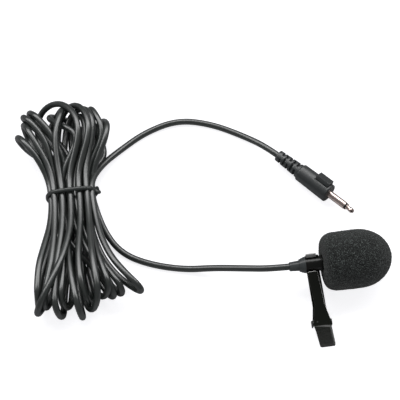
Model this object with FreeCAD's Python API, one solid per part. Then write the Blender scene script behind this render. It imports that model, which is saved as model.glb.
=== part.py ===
import FreeCAD, Part
import math
import os
from FreeCAD import Placement, Rotation, Vector

# Lavalier microphone lying on a table, in millimetres.
# The microphone's axis runs along +X, towards the foam windscreen's dome, and its clip reaches towards -Y.
# +Z is up. The origin is on the table, under the middle of the microphone and its clip.
# The cord leaves the tail, runs to a tied hank, and goes on from there to a moulded jack plug.

os.makedirs("parts", exist_ok=True)

# Clearances
push_gap = 0.05        # radial, between pieces that are pushed together or turn on each other
seat_gap = 0.3         # between pieces that only come close
clip_gap = 1.6         # along the axis, between the clip's ring and the foam
film_gap = 0.02        # around pieces that are moulded in, crimped on or wrapped

# Foam windscreen
foam_len = 31.5
foam_r = 13.3
foam_back_flat_r = 7.2
foam_corner_x = 5.0
foam_corner_r = 13.15
foam_belly_x = 16.2
foam_rim_bulge = 1.75  # how far the back corner swells past its chord
foam_side_bulge = 0.04 # the same for the side between corner and belly

# Head shell
neck_r = 3.4
neck_bore_r = 2.6
neck_len = 7.85
barrel_r = 3.8
barrel_bore_r = 3.4
barrel_len = 17.6
barrel_inset = 0.4     # how far inside the foam the barrel starts
barrel_floor = 1.0

# Front grille and mesh
grille_t = 0.6
grille_skirt_len = 1.0
grille_skirt_t = 0.3
grille_hole_r = 0.45
grille_ring_r = 2.1
grille_ring_holes = 8
mesh_t = 0.15

# Electret capsule
can_r = 3.0
can_wall = 0.2
can_front_t = 0.25
can_len = 4.5
can_hole_r = 0.8
can_lip = 0.25
felt_t = 0.5
felt_r = 2.6
film_ring_t = 0.33
film_ring_in_r = 2.2
film_t = 0.05
spacer_t = 0.08
spacer_in_r = 2.3
backplate_t = 0.5
backplate_hole_r = 0.2
backplate_hole_ring_r = 1.2
backplate_holes = 4
holder_wall = 0.5
gate_ring_wall = 0.3
board_t = 0.6
fet_len = 0.8
fet_w = 1.6
fet_h = 1.3
solder_r = 0.45
solder_h = 0.3
boot_lip = 0.6
boot_lip_t = 0.4

# Leads between the capsule and the cord
lead_r = 0.35
lead_y_at_board = 1.0
lead_y_at_cord = 0.6
lead_straight = 3.5

# Tail cone, crimp ferrule and strain relief
cone_len = 2.65
cone_big_r = 3.7
cone_small_r = 2.8
cone_rim_len = 0.4
spigot_len = 1.6
jacket_in = 0.3        # how far the cord's jacket reaches past the cone
ferrule_len = 1.8
ferrule_wall = 0.5
ferrule_back = 0.2     # from the jacket's end to the ferrule
relief_len = 4.6
relief_end_r = 2.05
relief_root_r = 2.35
relief_spigot_len = 0.65
relief_spigot_r = 1.9
relief_round = 0.5

# Clip
strip_t = 0.6
strip_w = 5.9
ring_front = -20.0     # degrees from the clip's outward direction, where the arm leaves the ring
ring_back = -226.0     # degrees, where the flared tab starts
ring_bend_r = 0.9
tab_len = 1.9
tab_flare = 88.0
tab_w = 4.6
tab_lean = -0.65
arm_fall = 3.3         # degrees that the arm falls away from the jaw
arm_waist_w = 6.0
arm_waist_lean = 0.3
arm_lever_s = 26.3
arm_lever_len = 7.4
arm_lever_bend = 27.0
arm_lever_end_w = 4.6
arm_lever_end_lean = 0.6
pivot_s = 27.0         # from the microphone's axis
pin_r = 0.7
ear_t = 0.6
ear_r = 1.5
ear_gap = 0.2
clip_w = 7.4
waist_s = 19.2
jaw_waist_lean = 0.05
flare_s = 25.5
jaw_n = 1.8            # height of the jaw plate's underside over the microphone's axis
jaw_mouth_s = 3.8
jaw_mouth_w = 4.7
jaw_mouth_lean = -0.9
jaw_waist_w = 4.45
jaw_lip_w = 2.6
jaw_notch_w = 0.5
jaw_notch_h = 0.5
jaw_notches = 2
jaw_corner_r = 1.0
jaw_flange_r = 1.3
jaw_lever_len = 11.7
jaw_lever_bend = 27.0
jaw_lever_end_w = 6.9
jaw_lever_end_lean = 0.0
rib_r = 0.15
rib_pitch = 1.9
rib_end_gap = 0.8
jaw_ribs = 5
arm_ribs = 3
dimple_r = 0.7
dimple_h = 0.2
dimple_x = -2.2
spring_wire_r = 0.22
spring_coil_r = 1.25
spring_turns = 4
spring_pitch = 0.6
spring_jaw_leg = 4.0
spring_arm_leg = 5.0
table_gap = 0.02       # between the clip's lower lever and the table

# Cord
cord_r = 1.5
arc_share = 0.45       # share of the shorter run that each arc's tangent takes
tail_run = 14.8        # first straight run out of the tail
mic_route = [(-44.2, 17.4, 9.3), (-56.5, 22.0, 4.0), (-69.0, 24.1, 1.5), (-84.0, 28.6, 1.5),
             (-96.0, 35.5, 1.5), (-103.0, 46.0, 3.0), (-106.3, 59.5, 7.0)]
plug_route = [(-109.3, 62.0, 9.0), (-107.0, 71.5, 8.3), (-101.5, 82.8, 5.2), (-91.8, 91.8, 2.2),
              (-78.5, 100.9, 1.5), (-62.0, 105.9, 1.5), (-46.0, 101.4, 1.5), (-31.5, 92.3, 1.7)]
plug_run = 13.8        # last straight run into the plug

# Hank: rounded sections across its length, as (y, left, right, low, high)
hank_sections = [
    (2.2, -129.0, -114.0, 3.0, 15.0),
    (7.0, -138.5, -99.0, 0.0, 18.0),
    (11.5, -139.0, -88.5, 0.0, 19.0),
    (23.4, -137.5, -92.5, 0.0, 19.5),
    (38.4, -133.5, -101.0, 0.0, 17.0),
    (53.4, -129.5, -103.0, 0.8, 14.0),
    (61.0, -128.0, -105.0, 2.2, 12.8),
    (73.0, -128.0, -105.0, 2.2, 12.8),
    (80.4, -130.5, -101.5, 0.6, 15.3),
    (96.4, -140.5, -95.0, 0.0, 20.3),
    (108.4, -140.5, -98.0, 0.0, 20.3),
    (114.0, -133.0, -103.0, 1.5, 18.5),
    (118.0, -127.0, -114.0, 5.0, 14.5),
]
hank_round = 0.42      # corner radius as a share of a section's height
tie_y = 66.8
tie_wire_r = 1.0
tie_stub_z = 8.0
tie_stub_len = 2.5
tie_stub_apart = 0.8

# Plug
plug_heading = -50.2   # degrees from +X to where the pin points
plug_x = 3.3           # where the plug's shoulder lies
plug_y = 53.05
plug_body_len = 18.0
plug_front_r = 4.55
plug_back_r = 4.25
plug_chamfer = 0.35
plug_back_round = 1.0
flex_len = 13.5
flex_small_r = 2.75
flex_big_r = 3.5
flex_collar_len = 2.2  # the rearmost rib
flex_ribs = 6
flex_rib_len = 1.2
flex_wall = 0.35
flex_bridge_w = 2.0
flex_roll = -25.0      # degrees from upright of the first pair of bridges
flex_root = 0.5        # how far the boot reaches into the body
key_len = 7.6
key_w = 4.0
key_top_r = 5.95
key_front = 1.2
key_roll = 25.0
key_groove_w = 0.6
key_groove_depth = 0.6
pin_shaft_r = 1.75
pin_sleeve_len = 9.7
pin_ring_len = 0.9
pin_ring_r = 1.55
pin_len = 14.6
tip_shoulder = 0.15
tip_shoulder_r = 1.5
tip_neck_x = 0.45
tip_neck_len = 1.1
tip_waist_r = 1.05
tip_bulb_x = 2.4
tip_bulb_len = 0.5
tip_bulb_r = 1.25
tip_nose_r = 0.7
tip_rod_r = 0.55
sleeve_bore_r = 1.15
sleeve_in = 2.6
sleeve_root_r = 1.55
sleeve_flange_r = 3.0
sleeve_flange_t = 1.0
premould_r = 3.4
premould_len = 10.0
washer_r = 2.2
washer_t = 0.8
lug_w = 1.6
lug_t = 0.4
lug_rim = 0.2          # from the flange's rim to the lug
lug_len = 8.0
jacket_end = 24.0      # how far behind the shoulder the cord's jacket ends
lead_room_len = 5.0
lead_straight_core = 3.0
lead_straight_shield = 9.0
lead_bend_len = 2.8
lead_apart = 0.7

# Places along the microphone's axis, from the back of the foam
barrel_x0 = barrel_inset
barrel_x1 = barrel_x0 + barrel_len
cone_x1 = -neck_len
cone_x0 = cone_x1 - cone_len
relief_x0 = cone_x0 - relief_len
jacket_x = cone_x1 + jacket_in
ferrule_x1 = jacket_x - ferrule_back
ferrule_x0 = ferrule_x1 - ferrule_len
cord_way_r = cord_r + push_gap
ferrule_r = cord_way_r + ferrule_wall
skirt_r = barrel_bore_r - push_gap
skirt_in_r = skirt_r - grille_skirt_t
skirt_x0 = barrel_x1 - grille_skirt_len
mesh_x0 = barrel_x1 - mesh_t
can_x1 = mesh_x0 - felt_t
can_x0 = can_x1 - can_len
stack_r = can_r - can_wall - push_gap
film_ring_x1 = can_x1 - can_front_t
film_ring_x0 = film_ring_x1 - film_ring_t
film_x0 = film_ring_x0 - film_t
spacer_x0 = film_x0 - spacer_t
plate_x0 = spacer_x0 - backplate_t
plate_r = stack_r - holder_wall - push_gap
board_x0 = can_x0 + can_wall
board_x1 = board_x0 + board_t

# The origin lies under the middle of the microphone, from the strain relief to the foam's dome
foam_back_x = (-relief_x0 - foam_len) / 2
axis_z = foam_r


def turned(outline):
    """Solid of revolution about the X axis, from (x, radius) corners."""
    points = [Vector(x, r, 0) for x, r in outline]
    face = Part.Face(Part.makePolygon(points + points[:1]))
    return face.revolve(Vector(0, 0, 0), Vector(1, 0, 0), 360)


def rod(x0, x1, r, y=0.0, z=0.0):
    """Cylinder along X from x0 to x1."""
    return Part.makeCylinder(r, x1 - x0, Vector(x0, y, z), Vector(1, 0, 0))


def sleeve(x0, x1, r_out, r_in):
    """Hollow cylinder about the X axis."""
    return rod(x0, x1, r_out).cut(rod(x0, x1, r_in))


def block(x0, x1, y0, y1, z0, z1):
    """Box between two corners."""
    return Part.makeBox(x1 - x0, y1 - y0, z1 - z0, Vector(x0, y0, z0))


def ring_of(count, radius):
    """Centres of a pattern on a circle about the X axis, as (y, z)."""
    angles = [2 * math.pi * k / count for k in range(count)]
    return [(radius * math.cos(a), radius * math.sin(a)) for a in angles]


def tube(points, radius, name):
    """Round tube along straight runs joined by tangent arcs, with its radii and volume printed."""
    corners = [Vector(*p) for p in points]
    start, length = corners[0], 0.0
    edges, radii = [], []
    for before, here, after in zip(corners, corners[1:], corners[2:]):
        u, v = here - before, after - here
        reach = arc_share * min(u.Length, v.Length)
        turn = u.getAngle(v)
        u.normalize()
        v.normalize()
        bend = reach / math.tan(turn / 2)
        first, last = here - u * reach, here + v * reach
        inward = (v - u).normalize()
        middle = here + inward * (bend / math.cos(turn / 2) - bend)
        edges.append(Part.LineSegment(start, first).toShape())
        edges.append(Part.Arc(first, middle, last).toShape())
        length += (first - start).Length + bend * turn
        radii.append(round(bend, 1))
        start = last
    edges.append(Part.LineSegment(start, corners[-1]).toShape())
    length += (corners[-1] - start).Length
    section = Part.Wire(Part.makeCircle(radius, corners[0], corners[1] - corners[0]))
    solid = Part.Wire(edges).makePipeShell([section], True, False)
    share = solid.Volume / (math.pi * radius ** 2 * length)
    print(f"{name}: length {length:.1f}, radii {radii}, volume share {share:.4f}")
    return solid


# Windscreen: a turned foam body with a flat back, a swelling back corner and an elliptical dome
def windscreen():
    back = Vector(0, foam_back_flat_r, 0)
    corner = Vector(foam_corner_x, foam_corner_r, 0)
    belly = Vector(foam_belly_x, foam_r, 0)
    front = Vector(foam_len, 0, 0)

    def swollen(a, b, bulge):
        way = b - a
        return Part.Arc(a, (a + b) * 0.5 + Vector(-way.y, way.x, 0).normalize() * bulge, b).toShape()

    steps = [math.pi / 16 * k for k in range(9)]
    dome_len = foam_len - foam_belly_x
    dome = Part.BSplineCurve()
    side = [Vector(foam_belly_x + dome_len * math.sin(t), foam_r * math.cos(t), 0) for t in steps[:-1]]
    dome.interpolate(side + [front])
    edges = [
        Part.LineSegment(Vector(0, 0, 0), back).toShape(),
        swollen(back, corner, foam_rim_bulge),
        swollen(corner, belly, foam_side_bulge),
        dome.toShape(),
        Part.LineSegment(front, Vector(0, 0, 0)).toShape(),
    ]
    body = Part.Face(Part.Wire(edges)).revolve(Vector(0, 0, 0), Vector(1, 0, 0), 360)
    socket_x1 = barrel_x1 + grille_t + seat_gap
    return body.cut(rod(-1, socket_x1, barrel_r + push_gap))


# Head: shell, grille, capsule and its inner pieces
def head_shell():
    outside = turned([(cone_x1, 0), (cone_x1, neck_r), (barrel_x0, neck_r), (barrel_x0, barrel_r),
                      (barrel_x1, barrel_r), (barrel_x1, 0)])
    front_bore = rod(barrel_x0 + barrel_floor, barrel_x1 + 1, barrel_bore_r)
    neck_bore = rod(cone_x1 - 1, barrel_x1, neck_bore_r)
    return outside.cut(front_bore).cut(neck_bore)


def front_grille():
    cap = rod(barrel_x1, barrel_x1 + grille_t, barrel_r)
    cap = cap.fuse(sleeve(skirt_x0, barrel_x1, skirt_r, skirt_in_r))
    for y, z in [(0.0, 0.0)] + ring_of(grille_ring_holes, grille_ring_r):
        cap = cap.cut(rod(barrel_x1 - 1, barrel_x1 + grille_t + 1, grille_hole_r, y, z))
    return cap


def capsule_can():
    cup = rod(can_x0, can_x1, can_r).cut(rod(can_x0 - 1, film_ring_x1, can_r - can_wall))
    lip = sleeve(can_x0, board_x0, can_r - can_wall / 2, can_r - can_wall - can_lip)
    return cup.fuse(lip).cut(rod(can_x0, can_x1 + 1, can_hole_r))


def backplate():
    plate = rod(plate_x0, spacer_x0, plate_r)
    for y, z in ring_of(backplate_holes, backplate_hole_ring_r):
        plate = plate.cut(rod(plate_x0 - 1, spacer_x0 + 1, backplate_hole_r, y, z))
    return plate


def capsule_boot():
    wall = sleeve(can_x0, skirt_x0, skirt_r, can_r + push_gap)
    return wall.fuse(sleeve(can_x0 - boot_lip_t, can_x0, skirt_r, can_r - boot_lip))


def solder_joints():
    return Part.makeCompound([rod(board_x0 - solder_h, board_x0, solder_r, side * lead_y_at_board)
                              for side in (-1, 1)])


def inner_leads():
    start, end = board_x0 - solder_h, jacket_x
    leads = []
    for side in (-1, 1):
        near, far = side * lead_y_at_board, side * lead_y_at_cord
        leads.append(tube([(start, near, 0), (start - lead_straight, near, 0), (end + lead_straight, far, 0),
                           (end, far, 0)], lead_r, "inner lead"))
    return Part.makeCompound(leads)


def tail_cone():
    spigot_r = neck_bore_r - push_gap
    outside = turned([(cone_x0, 0), (cone_x0, cone_small_r), (cone_x1 - cone_rim_len, cone_big_r),
                      (cone_x1, cone_big_r), (cone_x1, spigot_r), (cone_x1 + spigot_len, spigot_r),
                      (cone_x1 + spigot_len, 0)])
    open_x = cone_x1 + spigot_len + 1
    cord_way = rod(cone_x0 - 1, open_x, cord_way_r)
    ferrule_way = rod(ferrule_x0 - film_gap, open_x, ferrule_r + film_gap)
    relief_way = rod(cone_x0 - 1, cone_x0 + relief_spigot_len + film_gap, relief_spigot_r + push_gap)
    return outside.cut(cord_way).cut(ferrule_way).cut(relief_way)


def strain_relief():
    outer = turned([(relief_x0, 0), (relief_x0, relief_end_r), (cone_x0, relief_root_r), (cone_x0, 0)])
    end = [e for e in outer.Edges if e.BoundBox.XMax < relief_x0 + 0.01 and e.BoundBox.YLength > relief_end_r]
    outer = outer.makeFillet(relief_round, end)
    spigot = rod(cone_x0, cone_x0 + relief_spigot_len, relief_spigot_r)
    return outer.fuse(spigot).cut(rod(relief_x0 - 1, cone_x0 + relief_spigot_len + 1, cord_way_r))


# Clip: drawn with s outward from the microphone's axis along -Y and n upward, then drooped onto the table
def step(s, n, tilt, distance):
    """The point (s, n) reached after a distance that rises by tilt degrees."""
    a = math.radians(tilt)
    return s + distance * math.cos(a), n + distance * math.sin(a)


def bent_strip(s, n, r_mid, a0, a1, width):
    """Strip bent round an arc from angle a0 to a1, in degrees from s towards n."""
    angles = [math.radians(a) for a in (a0, (a0 + a1) / 2, a1)]

    def at(r, a):
        return Vector(-width / 2, -(s + r * math.cos(a)), n + r * math.sin(a))

    inner = [at(r_mid - strip_t / 2, a) for a in angles]
    outer = [at(r_mid + strip_t / 2, a) for a in angles]
    edges = [
        Part.Arc(*inner).toShape(),
        Part.LineSegment(inner[2], outer[2]).toShape(),
        Part.Arc(*outer[::-1]).toShape(),
        Part.LineSegment(outer[0], inner[0]).toShape(),
    ]
    return Part.Face(Part.Wire(edges)).extrude(Vector(width, 0, 0))


def flat_strip(stations, s, n, tilt):
    """Strip from (distance, width, lean) stations; its middle plane rises from (s, n) by tilt degrees."""
    left = [Vector(lean - width / 2, -d, -strip_t / 2) for d, width, lean in stations]
    right = [Vector(lean + width / 2, -d, -strip_t / 2) for d, width, lean in stations]
    outline = left + right[::-1]
    solid = Part.Face(Part.makePolygon(outline + outline[:1])).extrude(Vector(0, 0, strip_t))
    solid.Placement = Placement(Vector(0, -s, n), Rotation(Vector(1, 0, 0), -tilt))
    return solid


def across(s, n, radius, width, lean=0.0):
    """Round bar across the clip, centred on (s, n)."""
    return Part.makeCylinder(radius, width, Vector(lean - width / 2, -s, n), Vector(1, 0, 0))


def round_corners(solid, points, radius):
    """Rounds the corners of a flat strip that lie near the given points."""
    chosen = [e for e in solid.Edges if abs(e.Length - strip_t) < 0.01
              and min((e.CenterOfMass - p).Length for p in points) < strip_t / 2]
    return solid.makeFillet(radius, chosen)


def lever_ribs(s, n, tilt, count, length, end_w, end_lean):
    """Finger ribs across the outer face of a lever that tapers towards its end."""
    ribs = []
    for k in range(count):
        distance = (k + 1) * rib_pitch
        share = distance / length
        width = clip_w + share * (end_w - clip_w) - 2 * rib_end_gap
        ribs.append(across(*step(s, n, tilt, distance), rib_r, width, share * end_lean))
    return ribs


ring_mid_r = neck_r + push_gap + strip_t / 2
bend_s, bend_n = step(0, 0, ring_front, ring_mid_r + ring_bend_r)
arm_s, arm_n = step(bend_s, bend_n, 90 - arm_fall, ring_bend_r)


def arm_mid(s):
    """Height of the rear arm's middle plane at a distance from the axis."""
    return arm_n - (s - arm_s) * math.tan(math.radians(arm_fall))


pivot_n = (jaw_n + arm_mid(pivot_s) + strip_t / 2) / 2
arm_lever_tilt = -(arm_fall + arm_lever_bend)
foot_s, foot_n = step(arm_lever_s, arm_mid(arm_lever_s), arm_lever_tilt, arm_lever_len)
foot_s, foot_n = step(foot_s, foot_n, arm_lever_tilt - 90, strip_t / 2)
foot_turn = math.asin((axis_z - table_gap) / math.hypot(foot_s, foot_n))
droop = math.degrees(foot_turn - math.atan2(-foot_n, foot_s))
jaw_mid_n = jaw_n + strip_t / 2
jaw_bend_s = pivot_s + ear_r
lever_end_s, lever_end_n = step(jaw_bend_s, jaw_mid_n, jaw_lever_bend, jaw_lever_len)
lever_low_s, lever_low_n = step(lever_end_s, lever_end_n, jaw_lever_bend - 90, strip_t / 2)
reach = lever_low_s * math.cos(math.radians(droop)) + lever_low_n * math.sin(math.radians(droop))
axis_y = (reach - foam_r) / 2
clip_x = foam_back_x - clip_gap - strip_w / 2
ear_x0 = clip_w / 2 + ear_gap
ear_x1 = ear_x0 + ear_t


def clip_back_arm():
    ring = bent_strip(0, 0, ring_mid_r, ring_back, ring_front, strip_w)
    bend = bent_strip(bend_s, bend_n, ring_bend_r, 90 - arm_fall, 180 + ring_front, strip_w)
    tab_s, tab_n = step(0, 0, ring_back, ring_mid_r)
    tab_tilt = ring_back - 90 + tab_flare
    tab = flat_strip([(0, tab_w, tab_lean), (tab_len, tab_w, tab_lean)], tab_s, tab_n, tab_tilt)
    along = 1 / math.cos(math.radians(arm_fall))
    arm = flat_strip([(0, strip_w, 0), ((waist_s - arm_s) * along, arm_waist_w, arm_waist_lean),
                      ((flare_s - arm_s) * along, clip_w, 0), ((arm_lever_s - arm_s) * along, clip_w, 0)],
                     arm_s, arm_n, -arm_fall)
    elbow_n = arm_mid(arm_lever_s)
    elbow = across(arm_lever_s, elbow_n, strip_t / 2, clip_w)
    lever = flat_strip([(0, clip_w, 0), (arm_lever_len, arm_lever_end_w, arm_lever_end_lean)],
                       arm_lever_s, elbow_n, arm_lever_tilt)
    under_s, under_n = step(arm_lever_s, elbow_n, arm_lever_tilt - 90, strip_t / 2)
    ribs = lever_ribs(under_s, under_n, arm_lever_tilt, arm_ribs, arm_lever_len, arm_lever_end_w,
                      arm_lever_end_lean)
    solid = ring.fuse([bend, tab, arm, elbow, lever] + ribs)
    low = arm_mid(pivot_s) - strip_t / 2
    for side in (-1, 1):
        x0, x1 = sorted((side * ear_x0, side * ear_x1))
        inner, outer = sorted((side * (clip_w / 2 - ear_t), side * ear_x1))
        upright = block(x0, x1, -pivot_s - ear_r, -pivot_s + ear_r, low, pivot_n)
        crown = Part.makeCylinder(ear_r, ear_t, Vector(x0, -pivot_s, pivot_n), Vector(1, 0, 0))
        foot = block(inner, outer, -arm_lever_s, -pivot_s + ear_r, low, low + strip_t)
        solid = solid.fuse([upright, crown, foot])
    return solid.cut(across(pivot_s, pivot_n, pin_r + film_gap, 2 * ear_x1 + 1)).removeSplitter()


def clip_front_jaw():
    plate = flat_strip([(0, jaw_mouth_w, jaw_mouth_lean),
                        (waist_s - jaw_mouth_s, jaw_waist_w, jaw_waist_lean),
                        (flare_s - jaw_mouth_s, clip_w, 0), (jaw_bend_s - jaw_mouth_s, clip_w, 0)],
                       jaw_mouth_s, jaw_mid_n, 0)
    mouth = [Vector(jaw_mouth_lean + side * jaw_mouth_w / 2, -jaw_mouth_s, jaw_mid_n) for side in (-1, 1)]
    plate = round_corners(plate, mouth, jaw_corner_r)
    lever = flat_strip([(0, clip_w, 0), (jaw_lever_len, jaw_lever_end_w, jaw_lever_end_lean)],
                       jaw_bend_s, jaw_mid_n, jaw_lever_bend)
    ends = [Vector(jaw_lever_end_lean + side * jaw_lever_end_w / 2, -lever_end_s, lever_end_n)
            for side in (-1, 1)]
    lever = round_corners(lever, ends, jaw_corner_r)
    elbow = across(jaw_bend_s, jaw_mid_n, strip_t / 2, clip_w)
    top_s, top_n = step(jaw_bend_s, jaw_mid_n, jaw_lever_bend + 90, strip_t / 2)
    ribs = lever_ribs(top_s, top_n, jaw_lever_bend, jaw_ribs, jaw_lever_len, jaw_lever_end_w,
                      jaw_lever_end_lean)
    lip_low = arm_mid(jaw_mouth_s) + strip_t / 2 + seat_gap
    lip_x = jaw_mouth_lean - jaw_lip_w / 2
    lip = block(lip_x, lip_x + jaw_lip_w, -jaw_mouth_s - strip_t, -jaw_mouth_s, lip_low, jaw_mid_n)
    solid = plate.fuse([lever, elbow, lip] + ribs)
    pitch = jaw_lip_w / jaw_notches
    for k in range(jaw_notches):
        x = lip_x + (k + 0.5) * pitch
        solid = solid.cut(block(x - jaw_notch_w / 2, x + jaw_notch_w / 2, -jaw_mouth_s - 2 * strip_t,
                                -jaw_mouth_s + strip_t, lip_low - 1, lip_low + jaw_notch_h))
    for side in (-1, 1):
        x0, x1 = sorted((side * clip_w / 2, side * (clip_w / 2 - strip_t)))
        flange = Part.makeCylinder(jaw_flange_r, strip_t, Vector(x0, -pivot_s, pivot_n), Vector(1, 0, 0))
        web = block(x0, x1, -pivot_s - jaw_flange_r, -pivot_s + jaw_flange_r, pivot_n, jaw_mid_n)
        solid = solid.fuse([flange, web])
    dimple_n = jaw_n + strip_t + dimple_h - dimple_r
    dimple = Part.makeSphere(dimple_r, Vector(dimple_x, -pivot_s, dimple_n))
    dimple = dimple.common(block(-clip_w, clip_w, -2 * pivot_s, 0, jaw_mid_n, jaw_mid_n + dimple_r))
    solid = solid.fuse(dimple)
    return solid.cut(across(pivot_s, pivot_n, pin_r + push_gap, 2 * ear_x1)).removeSplitter()


def clip_spring():
    height = spring_turns * spring_pitch
    section = Part.Wire(Part.makeCircle(spring_wire_r, Vector(spring_coil_r, 0, 0), Vector(0, 1, 0)))
    coil = Part.Wire(Part.makeHelix(spring_pitch, height, spring_coil_r)).makePipeShell([section], True, True)
    coil.Placement = Placement(Vector(-height / 2, -pivot_s, pivot_n), Rotation(Vector(0, 1, 0), 90))
    rise = jaw_n - spring_wire_r - film_gap - pivot_n - spring_coil_r
    jaw_tilt = math.degrees(math.atan2(rise, jaw_bend_s - pivot_s))
    slope = math.radians(-arm_lever_tilt)
    elbow_top_n = arm_mid(arm_lever_s) + strip_t / 2
    over = ((pivot_n - spring_coil_r - elbow_top_n) * math.cos(slope)
            + (pivot_s - arm_lever_s) * math.sin(slope) - spring_wire_r - push_gap)
    arm_tilt = arm_lever_tilt - math.degrees(math.asin(over / spring_arm_leg))
    legs = []
    for x, side, tilt, length in ((-height / 2, 1, jaw_tilt, spring_jaw_leg), (height / 2, -1, arm_tilt,
                                                                             spring_arm_leg)):
        d_s, d_n = step(0, 0, tilt, 1)
        root = Vector(x, -pivot_s, pivot_n + side * spring_coil_r)
        legs.append(Part.makeCylinder(spring_wire_r, length, root, Vector(0, -d_s, d_n)))
    return coil.fuse(legs)


# Plug: drawn along +X with its shoulder at zero and its pin ahead, then turned to where it lies
def flex_boot():
    end = -plug_body_len
    boot = turned([(end - flex_len, 0), (end - flex_len, flex_small_r), (end, flex_big_r),
                   (end + flex_root, flex_big_r), (end + flex_root, 0)])
    pitch = (flex_len - flex_collar_len) / (flex_ribs - 1)
    for k in range(flex_ribs - 1):
        x0 = end - flex_len + flex_collar_len + k * pitch
        x1 = x0 + pitch - flex_rib_len
        ring = sleeve(x0, x1, flex_big_r + 1, cord_way_r + flex_wall)
        bridge = block(x0, x1, -flex_bridge_w / 2, flex_bridge_w / 2, -flex_big_r - 2, flex_big_r + 2)
        bridge.rotate(Vector(0, 0, 0), Vector(1, 0, 0), -(flex_roll + 90 * (k % 2)))
        boot = boot.cut(ring.cut(bridge))
    return boot


def plug_overmould():
    back = -plug_body_len
    body = turned([(back, 0), (back, plug_back_r), (-plug_chamfer, plug_front_r),
                   (0, plug_front_r - plug_chamfer), (0, 0)])
    shoulder = [e for e in body.Edges
                if abs(e.BoundBox.XMax - back) < 0.01 and e.BoundBox.YLength > plug_back_r]
    body = body.makeFillet(plug_back_round, shoulder)
    key = block(-key_front - key_len, -key_front, -key_w / 2, key_w / 2, 0, key_top_r)
    groove = block(-key_front - key_len, -key_front, -key_w / 2 - key_groove_w, -key_w / 2,
                   0, plug_front_r + 1)
    groove = groove.cut(rod(back, 0, plug_front_r - key_groove_depth))
    for shape in (key, groove):
        shape.rotate(Vector(0, 0, 0), Vector(1, 0, 0), -key_roll)
    solid = body.fuse([flex_boot(), key]).cut(groove)
    room_x1 = -premould_len
    ways = rod(room_x1, 1, premould_r + film_gap).fuse([
        rod(room_x1 - lead_room_len, room_x1, premould_r),
        rod(back - flex_len - 1, room_x1, cord_way_r),
    ])
    return solid.cut(ways).removeSplitter()


def lug_block(gap):
    low = -sleeve_flange_r + lug_rim - gap
    return block(-sleeve_in - lug_len, -sleeve_in + sleeve_flange_t / 2, -lug_w / 2 - gap, lug_w / 2 + gap,
                 low, low + lug_t + 2 * gap)


def plug_sleeve():
    shaft = rod(0, pin_sleeve_len, pin_shaft_r)
    root = rod(-sleeve_in, 0, sleeve_root_r)
    flange = rod(-sleeve_in, -sleeve_in + sleeve_flange_t, sleeve_flange_r)
    bore = rod(-sleeve_in - 1, pin_sleeve_len + 1, sleeve_bore_r)
    return shaft.fuse([root, flange, lug_block(0)]).cut(bore)


def plug_insulator():
    back = -sleeve_in - washer_t
    body = rod(back, pin_sleeve_len, sleeve_bore_r - film_gap)
    body = body.fuse([rod(pin_sleeve_len, pin_sleeve_len + pin_ring_len, pin_ring_r),
                      rod(back, -sleeve_in, washer_r)])
    return body.cut(rod(back - 1, pin_len, tip_rod_r + film_gap))


def plug_tip():
    base = pin_sleeve_len + pin_ring_len
    tip = turned([(base, 0), (base, tip_shoulder_r), (base + tip_shoulder, tip_shoulder_r),
                  (base + tip_neck_x, tip_waist_r), (base + tip_neck_x + tip_neck_len, tip_waist_r),
                  (base + tip_bulb_x, tip_bulb_r), (base + tip_bulb_x + tip_bulb_len, tip_bulb_r),
                  (pin_len, tip_nose_r), (pin_len, 0)])
    return tip.fuse(rod(-sleeve_in - lug_len, base, tip_rod_r))


def plug_premould():
    solid = rod(-premould_len + film_gap, 0, premould_r)
    flange = rod(-sleeve_in - film_gap, -sleeve_in + sleeve_flange_t + film_gap, sleeve_flange_r + film_gap)
    washer = rod(-sleeve_in - washer_t - film_gap, -sleeve_in, washer_r + film_gap)
    shaft = rod(-sleeve_in, 1, sleeve_root_r + film_gap)
    core = rod(-premould_len - 1, 0, tip_rod_r + film_gap)
    return solid.cut(flange.fuse([washer, shaft, core, lug_block(film_gap)]))


def plug_leads():
    start, end = -jacket_end, -sleeve_in - lug_len
    core = tube([(start, 0, lead_apart), (start + lead_straight_core, 0, lead_apart),
                 (end - lead_straight_core, 0, 0), (end, 0, 0)], lead_r, "plug core lead")
    lug_z = -sleeve_flange_r + lug_rim + lug_t / 2
    knee = start + lead_straight_shield
    shield = tube([(start, 0, -lead_apart), (knee, 0, -lead_apart), (knee + lead_bend_len, 0, lug_z),
                   (end, 0, lug_z)], lead_r, "plug shield lead")
    return Part.makeCompound([core, shield])


# Hank and tie
def rounded_section(y, left, right, low, high, corner):
    """Closed rounded rectangle at a place along Y."""
    diagonal = corner * (1 - math.sqrt(0.5))
    sides = [
        ((left + corner, low), (right - corner, low), (right - diagonal, low + diagonal)),
        ((right, low + corner), (right, high - corner), (right - diagonal, high - diagonal)),
        ((right - corner, high), (left + corner, high), (left + diagonal, high - diagonal)),
        ((left, high - corner), (left, low + corner), (left + diagonal, low + diagonal)),
    ]
    edges = []
    for k, (a, b, middle) in enumerate(sides):
        following = sides[(k + 1) % 4][0]
        a, b, middle, following = (Vector(x, y, z) for x, z in (a, b, middle, following))
        edges.append(Part.LineSegment(a, b).toShape())
        edges.append(Part.Arc(b, middle, following).toShape())
    return Part.Wire(edges)


def cable_hank():
    wires = [rounded_section(y, left, right, low, high, hank_round * (high - low))
             for y, left, right, low, high in hank_sections]
    return Part.makeLoft(wires, True, True)


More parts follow.
